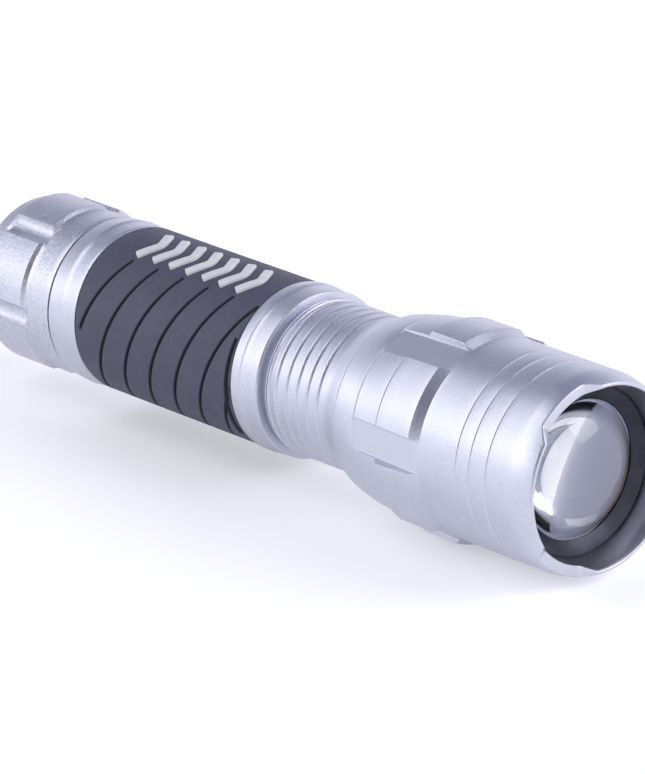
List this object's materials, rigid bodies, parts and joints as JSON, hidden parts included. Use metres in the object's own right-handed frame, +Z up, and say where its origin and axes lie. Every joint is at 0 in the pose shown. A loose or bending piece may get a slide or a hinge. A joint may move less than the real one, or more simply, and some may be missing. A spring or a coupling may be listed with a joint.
{
  "type": "tactical flashlight",
  "caption": "Round aluminium hand torch with a sliding zoom head, domed lens, scalloped bezel, rubber grip and screw-on tail cap with a push button.",
  "frame": {"origin": "on the table under the middle of the torch's length, with the zoom closed", "axes": "+X along the torch from the tail to the lens, +Z up, torch axis level at z = 17.75 mm"},
  "size_m": [0.14, 0.0352, 0.0355],
  "materials": {
    "aluminium": "bead-blasted and clear anodised, satin with fine sparkle",
    "grip_rubber": "matt moulded rubber",
    "black_rubber": "matt",
    "lens_glass": "polished",
    "dark_anodised": "satin black anodised",
    "brass": "turned",
    "white_board": "white solder mask",
    "phosphor": "silicone dome over yellow phosphor",
    "red_insulation": "silicone insulation",
    "black_insulation": "silicone insulation",
    "circuit_board": "green solder mask",
    "steel": "nickel plated",
    "black_plastic": "moulded",
    "cell_wrap": "printed sleeve"
  },
  "bodies": {
    "barrel": {"barrel_tube": "aluminium", "rubber_grip": "grip_rubber", "led_pill": "brass", "led_board": "white_board", "led_emitter": "phosphor", "led_lead_positive": "red_insulation", "led_lead_negative": "black_insulation", "driver_board": "circuit_board", "driver_spring": "steel", "carrier_frame": "black_plastic", "carrier_front_contact": "steel", "carrier_rear_contact": "steel", "carrier_front_link": "steel", "carrier_rear_link": "steel", "cell_1": "cell_wrap", "cell_2": "cell_wrap", "cell_3": "cell_wrap"},
    "neck_seal": {"neck_o_ring": "black_rubber"},
    "head": {"head_shell": "aluminium", "lens": "lens_glass", "lens_gasket": "black_rubber", "lens_retaining_ring": "dark_anodised"},
    "tail_seal": {"tail_o_ring": "black_rubber"},
    "tail_cap": {"tail_cap": "aluminium", "switch_retaining_ring": "brass", "switch_board": "circuit_board", "switch_housing": "black_plastic", "switch_spring": "steel", "tail_spring": "steel"},
    "button": {"switch_plunger": "black_plastic", "rubber_boot": "black_rubber"}
  },
  "joints": [
    {"name": "head_spin", "type": "hinge", "parent": "barrel", "child": "neck_seal", "pos_m": [0.029, 0, 0.01775], "axis": [1, 0, 0], "continuous": true},
    {"name": "zoom_slide", "type": "slide", "parent": "neck_seal", "child": "head", "axis": [1, 0, 0], "range_m": [0, 0.012]},
    {"name": "tail_cap_turn", "type": "hinge", "parent": "barrel", "child": "tail_seal", "pos_m": [-0.05, 0, 0.01775], "axis": [1, 0, 0], "range_deg": [0, 2160]},
    {"name": "tail_cap_travel", "type": "slide", "parent": "tail_seal", "child": "tail_cap", "axis": [-1, 0, 0], "range_m": [0, 0.006]},
    {"name": "button_press", "type": "slide", "parent": "tail_cap", "child": "button", "axis": [1, 0, 0], "range_m": [0, 0.0015], "stiffness_N_per_m": 1200, "springref_m": -0.0004, "deforming": ["rubber_boot", "switch_spring"]}
  ],
  "couplings": [
    {"joint": "tail_cap_turn", "follows": "tail_cap_travel", "rad_per_m": 6283.2}
  ]
}
